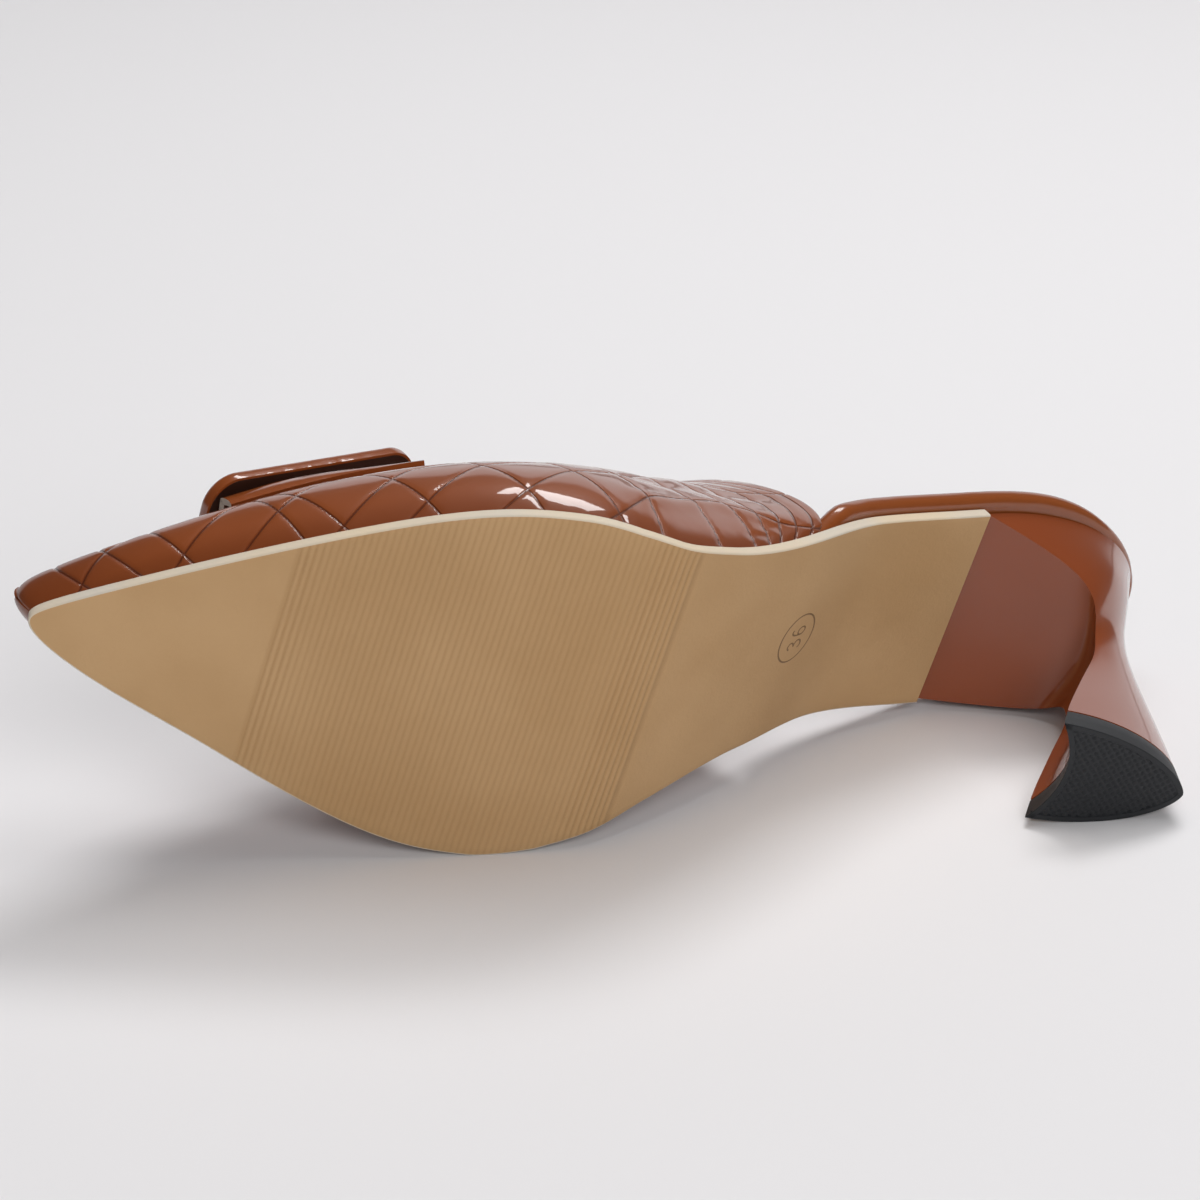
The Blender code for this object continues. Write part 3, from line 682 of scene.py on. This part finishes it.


# Soft troughs and ridges: start and end on the chart in millimetres, half width, depth
creases = (
    {"start": (54, 12), "end": (28, 17.8), "width": 3.2, "depth": -0.00055},
    {"start": (31, 17.8), "end": (9, 7), "width": 3.0, "depth": -0.00050},
    {"start": (52, 28), "end": (26, 26), "width": 3.4, "depth": 0.0004},
    {"start": (26, 26), "end": (4, 17), "width": 3.0, "depth": 0.0004},
    {"start": (60, 40), "end": (30, 42), "width": 5.0, "depth": 0.0006},
    {"start": (20, 8), "end": (9, 4), "width": 1.6, "depth": 0.00025},
    {"start": (24, 5), "end": (14, 2.5), "width": 1.2, "depth": 0.0002},
    {"start": (86, 40), "end": (66, 60), "width": 4.0, "depth": 0.0005},
    {"start": (62, 78), "end": (40, 96), "width": 4.0, "depth": 0.0005},
)
creaseFade = 0.3  # share of a crease's length over which it fades at each end


def creaseRelief(along, up):
    total = np.zeros(along.shape)
    for crease in creases:
        (a0, u0), (a1, u1) = crease["start"], crease["end"]
        long = math.hypot(a1 - a0, u1 - u0)
        part = ((along - a0) * (a1 - a0) + (up - u0) * (u1 - u0)) / long ** 2
        aside = np.abs((along - a0) * (u1 - u0) - (up - u0) * (a1 - a0)) / long
        ends = ease(part / creaseFade + creaseFade) * ease((1 - part) / creaseFade + creaseFade)
        total -= crease["depth"] * np.exp(-(aside / crease["width"]) ** 2) * ends
    return total


def travelled(spots, axis):  # millimetres along a grid of places from its first row or column
    steps = np.linalg.norm(np.diff(spots, axis=axis), axis=-1)
    first = np.zeros_like(np.take(steps, [0], axis=axis))
    return np.concatenate([first, np.cumsum(steps, axis=axis)], axis) * 1000


def buildUpper():
    spots = vampChart(upper["columns"], upper["rows"])
    normals = surfaceNormals(spots, innerLine(spots))
    up = travelled(spots, 1)
    along = np.broadcast_to(travelled(spots[:, :1], 0), up.shape)
    first, second = lattice(along, up)
    pitch = [1 / perMillimetre(spots, count) for count in (first, second)]
    away = [np.abs((count + 0.5) % 1 - 0.5) * wide for count, wide in zip((first, second), pitch)]
    nearest = np.minimum(*away)
    relief = creaseRelief(along, up)
    relief -= upper["grooveDepth"] * np.exp(-(nearest / upper["grooveWidth"]) ** 2)
    relief -= upper["pillow"] * np.exp(-(nearest / upper["pillowWidth"]) ** 2)
    relief *= ease(up / upper["plainEdge"]) * ease((up[:, -1:] - up) / upper["plainEdge"])
    outer = spots + normals * relief[..., None]
    outer[-1] = (outer[-1] + outer[-1, ::-1]) / 2
    # the top edge is folded over to the lining
    back = outer[0] - outer[1]
    back -= (back * normals[0]).sum(-1, keepdims=True) * normals[0]
    back /= np.linalg.norm(back, axis=-1, keepdims=True)
    fold = []
    middle = outer[0] - normals[0] * upper["wall"] / 2
    for angle in np.linspace(math.pi, 0, upper["foldSteps"] + 1)[:-1]:
        fold.append(middle + upper["wall"] / 2 * (normals[0] * math.cos(angle) + back * math.sin(angle)))
    bm = gridPiece(np.concatenate([np.stack(fold), outer]))

    def storePair(name, pair):  # the fold takes the values of the edge
        values = np.stack(pair, -1)
        storeMap(bm, name, np.concatenate([np.repeat(values[:1], len(fold), 0), values]))

    storePair("lattice", (first, second))
    storePair("place", (np.minimum(up, up[:, -1:] - up) / upper["placeUnit"], along / along.max()))
    storePair("pitch", [np.minimum(wide, upper["widestPitch"]) for wide in pitch])
    finishPiece(bm, "embossedUpper", ("patent",), ("upper",), creaseAngle=75)


buildUpper()


def buildLining():
    spots = vampChart(upper["liningColumns"], upper["liningRows"])
    inner = spots - surfaceNormals(spots, innerLine(spots)) * upper["wall"]
    inner[-1] = (inner[-1] + inner[-1, ::-1]) / 2
    bm = gridPiece(inner)
    bmesh.ops.remove_doubles(bm, verts=bm.verts, dist=1e-6)
    bmesh.ops.recalc_face_normals(bm, faces=bm.faces)
    bmesh.ops.reverse_faces(bm, faces=bm.faces)
    finishPiece(bm, "vampLining", ("lining",), outward=False, creaseAngle=75)


buildLining()

# Heel block and tip: one form from the seat to the floor
heel = {
    "breast": 0.0432, "inset": 0.0004, "tipBack": 0.0081, "tipLength": 0.0293, "tipWidth": 0.0222,
    "tipThickness": 0.0058, "hollow": 0.0042, "gap": 0.0003, "flank": 56, "front": 26, "levels": 60,
}
heelRows = np.array((
    # level, depth of the seat, of the tip, width of the seat, of the tip, back, hollow, roundness
    (0.00, 1.00, 0.000, 1.00, 0.000, 0.00, 0.00, 0.82),
    (0.12, 0.30, 0.240, 0.45, 0.565, 0.36, 0.30, 0.90),
    (0.25, 0.06, 0.350, 0.12, 0.670, 0.72, 0.55, 1.00),
    (0.40, 0.00, 0.447, 0.00, 0.757, 0.94, 0.70, 1.10),
    (0.55, 0.00, 0.587, 0.00, 0.786, 0.96, 0.80, 1.18),
    (0.70, 0.00, 0.744, 0.00, 0.857, 0.94, 0.90, 1.24),
    (0.85, 0.00, 0.887, 0.00, 0.930, 0.95, 0.97, 1.28),
    (1.00, 0.00, 1.000, 0.00, 1.000, 1.00, 1.00, 1.30),
))
heelCurves = [curveThrough(heelRows[:, 0], heelRows[:, i]) for i in range(1, 8)]


def heelSpots():  # angle, side and whether it is on the hollowed front, for each point of a ring
    flank = np.linspace(0, math.pi / 2, heel["flank"] + 1)
    front = np.linspace(-1, 1, heel["front"] + 1)[1:-1]
    angle = np.concatenate([flank, np.full(len(front), math.pi / 2), flank[:0:-1]])
    side = np.concatenate([np.ones(len(flank)), -front, -np.ones(len(flank) - 1)])
    order = np.arange(len(angle))
    return angle, side, (order >= len(flank)) & (order < len(flank) + len(front))


def heelPlan(level, angle, side, onFront):
    depthSeat, depthTip, wideSeat, wideTip, back, hollow, roundness = (curve(level) for curve in heelCurves)
    depth = depthSeat * (heel["breast"] - heel["inset"]) + depthTip * heel["tipLength"]
    half = wideSeat * (last["seat"] / 2 - heel["inset"]) + wideTip * heel["tipWidth"] / 2
    back = heel["inset"] + back * (heel["tipBack"] - heel["inset"])
    front = back + depth
    x = np.where(onFront, front - hollow * heel["hollow"] * (1 - side ** 2), front - depth * np.cos(angle))
    y = np.where(onFront, side * half, side * half * np.abs(np.sin(angle)) ** roundness)
    return x, y


def heelRing(heightAt):
    angle, side, onFront = heelSpots()
    seatX, _ = heelPlan(np.zeros(len(angle)), angle, side, onFront)
    seat = treadAt(seatX) + sole["thickness"]
    height = heightAt(seat)
    x, y = heelPlan(1 - height / seat, angle, side, onFront)
    return np.stack([x, y, height + 0 * x], -1)


def closeEnds(bm, lastRow):  # fills the open rings at both ends
    row = bm.verts.layers.int["row"]
    bmesh.ops.remove_doubles(bm, verts=bm.verts, dist=1e-7)
    for level in (0, lastRow):
        rim = [edge for edge in bm.edges
               if edge.is_boundary and edge.verts[0][row] == level and edge.verts[1][row] == level]
        filled = bmesh.ops.holes_fill(bm, edges=rim, sides=0)["faces"]
        bmesh.ops.triangulate(bm, faces=filled)


def buildHeel():
    floor = heel["tipThickness"] + heel["gap"]
    rings = [heelRing(lambda seat, part=part: floor + (seat - floor) * (1 - part))
             for part in np.linspace(0, 1, heel["levels"] + 1)]
    bm = gridPiece(closedGrid(rings))
    closeEnds(bm, heel["levels"])
    finishPiece(bm, "heelBlock", ("lacquer",), ("heel",), merge=1e-7, creaseAngle=42)


buildHeel()

# Rubber tip: a smooth rim round a field of small pits; bed is how far in past the rim, and up past its
# step, the hidden ground under the pits starts
tip = {
    "rim": 0.0011, "step": 0.00016, "stepFoot": 0.0001, "bed": (0.0004, 0.0003),
    "pitch": 0.00116, "pit": 0.00036, "pitDepth": 0.00028, "pitEdge": 0.00012, "cells": 5, "slant": 0.7071,
    "field": 0.00012, "underRim": 0.0003, "softened": 0.00012, "topDrawn": 0.01,
    "sideLevels": (1, 0.97, 0.5), "footHeights": (0.0004, 0.0001),
}


def tipOutline(inset):
    ring = heelRing(lambda seat: 0.0 * seat)[:, :2]
    return ring - outwardOf(ring, True) * inset


def buildTip():
    heights = [heel["tipThickness"] * share for share in tip["sideLevels"]] + list(tip["footHeights"])
    rings = [heelRing(lambda seat, height=height: height + 0 * seat) for height in heights]
    top, drawn = rings[0][:, :2], tip["topDrawn"]
    rings[0][:, :2] = top * (1 - drawn) + top.mean(0) * drawn
    rim, step, (bedIn, bedUp) = tip["rim"], tip["step"], tip["bed"]
    under = ((tip["softened"], 0.0), (rim, 0.0), (rim + tip["stepFoot"], step), (rim + bedIn, step + bedUp))
    rings += [atHeight(tipOutline(inset), height) for inset, height in under]
    bm = gridPiece(closedGrid(rings))
    closeEnds(bm, len(rings) - 1)
    finishPiece(bm, "heelTip", ("rubber",), ("heel_tip",), merge=1e-7, creaseAngle=30)


def insideLoop(points, loop):  # counts the edges crossed on the way out
    inside = np.zeros(len(points), bool)
    x, y = points[:, 0], points[:, 1]
    for (x0, y0), (x1, y1) in zip(loop, np.roll(loop, -1, 0)):
        crosses = (y0 > y) != (y1 > y)
        inside ^= crosses & (x < (x1 - x0) * (y - y0) / (y1 - y0 + 1e-15) + x0)
    return inside


def buildTipField():
    loop = tipOutline(tip["rim"] - tip["underRim"])
    low, high = loop.min(0), loop.max(0)
    pitch = tip["pitch"]
    cell = pitch / tip["cells"]
    columns, rows = (int((high[k] - low[k]) / cell) for k in (0, 1))
    x, y = np.meshgrid(low[0] + cell * np.arange(columns + 1), low[1] + cell * np.arange(rows + 1),
                       indexing="ij")
    # the pits stand in rows that run slantwise
    slanted = ((x + y) / pitch * tip["slant"], (x - y) / pitch * tip["slant"])
    off = np.hypot(*(np.abs((count + 0.5) % 1 - 0.5) for count in slanted)) * pitch
    z = tip["field"] + tip["pitDepth"] * ease((tip["pit"] + tip["pitEdge"] - off) / (2 * tip["pitEdge"]))
    bm = gridPiece(np.stack([x, y, z], -1))
    keep = insideLoop(np.stack([x, y], -1).reshape(-1, 2), loop).reshape(x.shape)
    column, row = gridLayers(bm)
    gone = [vert for vert in bm.verts if not keep[vert[column], vert[row]]]
    bmesh.ops.delete(bm, geom=gone, context="VERTS")
    piece = finishPiece(bm, "tipPits", ("rubber",), outward=False, creaseAngle=60)
    down = lying.to_3x3() @ Vector((0, 0, -1))
    if sum(face.normal.dot(down) for face in piece.data.polygons) < 0:
        piece.data.flip_normals()


buildTip()
buildTipField()

# Buckle frame: leather wrapped over a rounded rectangle; the channel underneath is coloured near black as
# painted shade
buckle = {
    "length": 0.0480, "width": 0.0400, "bar": 0.0058, "thickness": 0.0026, "corner": 0.0065,
    "place": 0.764, "lift": 0.0038, "pitch": 4.0, "cornerSteps": 20, "straightSteps": 14,
    "shadedRows": (17, 20),
}
# Section of the bar: share of its width from the outer edge, height in half thicknesses
barProfile = (
    (0.06, -1.0), (0.015, -0.9), (0.0, -0.45), (0.0, 0.25), (0.015, 0.6), (0.05, 0.82), (0.12, 0.95),
    (0.25, 1.0), (0.5, 1.0), (0.75, 1.0), (0.88, 0.95), (0.95, 0.82), (0.985, 0.6), (1.0, 0.25),
    (1.0, -0.45), (0.985, -0.9), (0.94, -1.0), (0.90, -0.98), (0.88, -0.80), (0.12, -0.80),
    (0.10, -0.98), (0.06, -1.0),
)


def bucklePlace():  # turns and moves the flat frame onto the crest
    half = buckle["length"] / 2 / last["reach"]
    here, ahead, behind = (Vector(crestAt(np.array(buckle["place"] + shift))) for shift in (0, half, -half))
    along = (ahead - behind).normalized()
    upward = Vector((0, 1, 0)).cross(-along).normalized()
    tilt = Matrix.Rotation(math.radians(buckle["pitch"]), 3, "Y")
    along, upward = tilt @ along, tilt @ upward
    base = here + upward * (buckle["lift"] + buckle["thickness"] / 2)
    return Matrix.Translation(base) @ Matrix((along, upward.cross(along), upward)).transposed().to_4x4()


def roundedLoop(length, width, radius):
    points = []
    for quarter, (sx, sy) in enumerate(((1, 1), (-1, 1), (-1, -1), (1, -1))):
        middle = np.array([sx * (length / 2 - radius), sy * (width / 2 - radius)])
        angles = math.pi / 2 * (quarter + np.linspace(0, 1, buckle["cornerSteps"] + 1))
        points.append(middle + radius * np.stack([np.cos(angles), np.sin(angles)], -1))
    following = points[1:] + points[:1]
    straights = [np.linspace(corner[-1], after[0], buckle["straightSteps"] + 1)[1:-1]
                 for corner, after in zip(points, following)]
    return np.concatenate([part for pair in zip(points, straights) for part in pair])


def buildBuckle():
    rings = []
    for share, height in barProfile:
        shift = share * buckle["bar"]
        loop = roundedLoop(buckle["length"] - 2 * shift, buckle["width"] - 2 * shift,
                           buckle["corner"] - shift)
        rings.append(atHeight(loop, height * (buckle["thickness"] / 2)))
    bm = gridPiece(closedGrid(rings))
    row = bm.verts.layers.int["row"]
    # faces of the channel under the bar take the near-black painted shade
    low, high = buckle["shadedRows"]
    for face in bm.faces:
        face.material_index = 1 if low < middleOf(face, row) < high else 0
    bmesh.ops.remove_doubles(bm, verts=bm.verts, dist=1e-7)
    bmesh.ops.transform(bm, matrix=bucklePlace(), verts=bm.verts)
    finishPiece(bm, "buckleFrame", ("smoothPatent", "frameShade"), ("buckle_frame",),
                creaseAngle=50)


buildBuckle()

# Gathered band: a strip over the vamp that rolls up from both ends and runs under the frame
band = {
    "thickness": 0.0014, "span": 0.46, "roll": 0.0044, "play": 0.0010, "gap": 0.0003,
    "columns": 48, "rows": 60, "samples": 500, "gather": 0.00022, "folds": 5, "foldedFrom": 0.5,
    "rollSpeed": 3, "rollCurve": 0.7, "taper": 0.25, "taperSpan": 0.75, "coreDepth": 0.01,
}


def buildBand():
    opening = buckle["length"] - 2 * buckle["bar"] - 2 * band["play"]
    place = bucklePlace()
    frameUp = np.array(place.to_3x3() @ Vector((0, 0, 1)))
    under = np.array(place @ Vector((0, 0, -buckle["thickness"] / 2 - band["gap"])))
    middle = place.translation.x
    xs = middle + opening * (np.linspace(0, 1, band["columns"] + 1) - 0.5)
    at = np.linspace(1 - band["span"], 1, band["rows"] + 1)
    shares = np.linspace(upper["back"], 1, band["samples"])
    part = np.arange(len(at)) / band["rows"]  # 0 at the outer end, 1 on the crest
    rolled = np.sin(math.pi / 2 * np.minimum(1, band["rollSpeed"] * part)) ** band["rollCurve"]
    taper = band["taper"] + (1 - band["taper"]) * ease((xs - xs[0]) / (band["taperSpan"] * opening))
    waves = np.sin(2 * math.pi * band["folds"] * part)[None]
    folds = band["gather"] * (waves * np.sin(math.pi * np.linspace(0, 1, len(xs)))[:, None])
    folded = np.abs(folds) * (rolled[None] > band["foldedFrom"])
    halves = []
    for side in (1, -1):
        chart = alongRib(vampRib(shares, side), at)
        normals = surfaceNormals(chart, innerLine(chart))
        seat, lean = np.zeros((len(xs), len(at), 3)), np.zeros((len(xs), len(at), 3))
        for j in range(len(at)):
            for k in range(3):
                seat[:, j, k] = np.interp(xs, chart[:, j, 0], chart[:, j, k])
                lean[:, j, k] = np.interp(xs, chart[:, j, 0], normals[:, j, k])
        free = ((under - seat) @ frameUp) / (lean @ frameUp)  # up to the underside of the frame
        raised = band["gap"] + band["thickness"] + band["roll"] * rolled[None] * taper[:, None]
        halves.append(seat + lean * (np.minimum(raised, free) - folded)[..., None])
    top = np.concatenate([halves[0], halves[1][:, -2::-1]], 1)
    core = top.mean(1, keepdims=True) - frameUp * band["coreDepth"]
    low = top - surfaceNormals(top, core) * band["thickness"]
    # outer face, then round each cut edge to the inner face
    bm = gridPiece(np.concatenate([low[:1], top, low[-1:], low[::-1]], 0))
    column = bm.verts.layers.int["column"]
    for face in bm.faces:
        middle = middleOf(face, column)
        onEdge = middle < 1 or len(xs) < middle < len(xs) + 1
        face.material_index = 1 if onEdge else 0 if middle < len(xs) + 1 else 2
    bmesh.ops.remove_doubles(bm, verts=bm.verts, dist=1e-6)
    rims = [edge for edge in bm.edges if edge.is_boundary]
    ends = bmesh.ops.holes_fill(bm, edges=rims, sides=0)["faces"]
    for face in ends:
        face.material_index = 0
    bmesh.ops.triangulate(bm, faces=ends)
    finishPiece(bm, "gatheredBand", ("smoothPatent", "cutEdge", "taupe"), ("band",),
                creaseAngle=50)


buildBand()

# Size mark pressed into the shank: an oval and two plain digits
mark = {
    "x": 0.0832, "y": 0.0024, "long": 0.0054, "wide": 0.0041, "line": 0.00022, "digit": 0.0044,
    "narrow": 0.72, "level": 0.00002, "deep": 0.00006, "sides": 6, "ovalSteps": 72, "ringSteps": 16,
    "strokeSteps": 60, "shifts": (-0.0027, 0.0005),
}
# Each digit as a run of points, x to its right and y up, height 1; the ring of the six is added to it
three = (
    (0.08, 0.86), (0.28, 1.0), (0.52, 0.92), (0.55, 0.72), (0.36, 0.56), (0.24, 0.54), (0.38, 0.52),
    (0.60, 0.40), (0.62, 0.18), (0.42, 0.02), (0.18, 0.02), (0.04, 0.16),
)
sixStem = ((0.56, 0.92), (0.38, 1.0), (0.18, 0.86), (0.08, 0.56))
sixRing = {"x": 0.33, "y": 0.28, "radius": 0.27}


def pressedLine(bm, plan, closed):
    outward = outwardOf(plan, closed)
    rings = []
    for angle in np.linspace(0, 2 * math.pi, mark["sides"] + 1):
        shifted = plan + outward * (mark["line"] * math.cos(angle))
        height = mark["level"] - mark["deep"] * math.sin(angle)
        rings.append(onTread(shifted, np.full(len(plan), height)))
    spots = closedGrid(rings) if closed else np.stack(rings, 1)
    part = gridPiece(spots)
    mesh = bpy.data.meshes.new("part")
    part.to_mesh(mesh)
    part.free()
    bm.from_mesh(mesh)
    bpy.data.meshes.remove(mesh)


def buildMark():
    bm = bmesh.new()
    turn = np.linspace(0, 2 * math.pi, mark["ovalSteps"] + 1)[:-1]
    oval = (mark["x"] + mark["wide"] * np.cos(turn), mark["y"] + mark["long"] * np.sin(turn))
    pressedLine(bm, np.stack(oval, -1), True)
    turn = np.linspace(0, 2 * math.pi, mark["ringSteps"] + 1) + math.pi
    ring = np.stack([sixRing["x"] + sixRing["radius"] * np.cos(turn),
                     sixRing["y"] + sixRing["radius"] * np.sin(turn)], -1)
    height = mark["digit"] * mark["narrow"]
    fine = np.linspace(0, 1, mark["strokeSteps"])
    for run, shift in zip((np.array(three), np.concatenate([sixStem, ring])), mark["shifts"]):
        knots = np.linspace(0, 1, len(run))
        right, up = (curveThrough(knots, run[:, k])(fine) for k in (0, 1))
        plan = (mark["x"] - height / 2 + up * height, mark["y"] + shift + right * height)
        pressedLine(bm, np.stack(plan, -1), False)
    finishPiece(bm, "sizeMark", ("mark",), merge=1e-7, creaseAngle=60)


buildMark()

# Floor, light and camera
room = {
    "floor": (0.74, 0.728, 0.738), "floorSize": 6.0, "world": (0.92, 0.91, 0.93), "low": 0.85, "high": 0.05,
    "backdropTop": (0.34, 0.52), "backdropSide": (0.60, 0.76), "aim": (0.0, 0.0, 0.03),
    "camera": (-0.1644, -0.7540, 0.3497), "cameraTurn": (68.049, -0.827, -11.689), "lens": 129.3,
    "sensor": 36, "near": 0.05, "far": 20,
}
lamps = (
    {"name": "softbox", "place": (0.42, 0.60, 1.15), "size": (0.62, 0.36), "power": 7.5, "mirrored": True},
    {"name": "ceiling", "place": (0.25, 0.15, 1.55), "size": (1.50, 1.2), "power": 13.0, "mirrored": False},
    {"name": "frontFill", "place": (0.0, -1.9, 1.1), "size": (1.4, 0.8), "power": 28.5, "mirrored": False},
)


def buildFloor():
    bm = bmesh.new()
    bmesh.ops.create_grid(bm, x_segments=1, y_segments=1, size=room["floorSize"])
    mesh = bpy.data.meshes.new("floor")
    bm.to_mesh(mesh)
    bm.free()
    mesh.materials.append(newFinish("paleFloor", room["floor"], 0.85, specular=0.2))
    floor = addObject("floor", mesh)


def buildWorld():  # bright low backdrop behind the shoe, dark elsewhere
    world = bpy.data.worlds.new("studio")
    world.use_nodes = True
    nodes, links = world.node_tree.nodes, world.node_tree.links
    background = nodes["Background"]
    background.inputs["Color"].default_value = (*room["world"], 1)
    way = nodes.new("ShaderNodeSeparateXYZ")
    links.new(nodes.new("ShaderNodeTexCoord").outputs["Generated"], way.inputs[0])
    low = addRange(nodes, links, way.outputs["Z"], *room["backdropTop"], 1.0, 0.0)
    behind = addRange(nodes, links, way.outputs["Y"], *room["backdropSide"])
    both = addMath(nodes, links, "MULTIPLY", low, behind)
    strength = addRange(nodes, links, both, 0.0, 1.0, room["high"], room["low"])
    links.new(strength, background.inputs["Strength"])
    bpy.context.scene.world = world


def buildLamps():
    for lamp in lamps:
        light = bpy.data.lights.new(lamp["name"], "AREA")
        light.shape = "RECTANGLE"
        light.size, light.size_y = lamp["size"]
        light.energy = lamp["power"]
        holder = addObject(lamp["name"], light)
        holder.visible_glossy = lamp["mirrored"]
        holder.location = lamp["place"]
        aim = Vector(room["aim"]) - Vector(lamp["place"])
        holder.rotation_euler = aim.to_track_quat("-Z", "Y").to_euler()


def buildCamera():
    lens = bpy.data.cameras.new("camera")
    lens.sensor_width, lens.lens = room["sensor"], room["lens"]
    lens.clip_start, lens.clip_end = room["near"], room["far"]
    camera = addObject("camera", lens)
    camera.location = room["camera"]
    camera.rotation_euler = [math.radians(angle) for angle in room["cameraTurn"]]
    bpy.context.scene.camera = camera
    bpy.context.scene.view_settings.view_transform = "Standard"


buildFloor()
buildWorld()
buildLamps()
buildCamera()
print("room made")
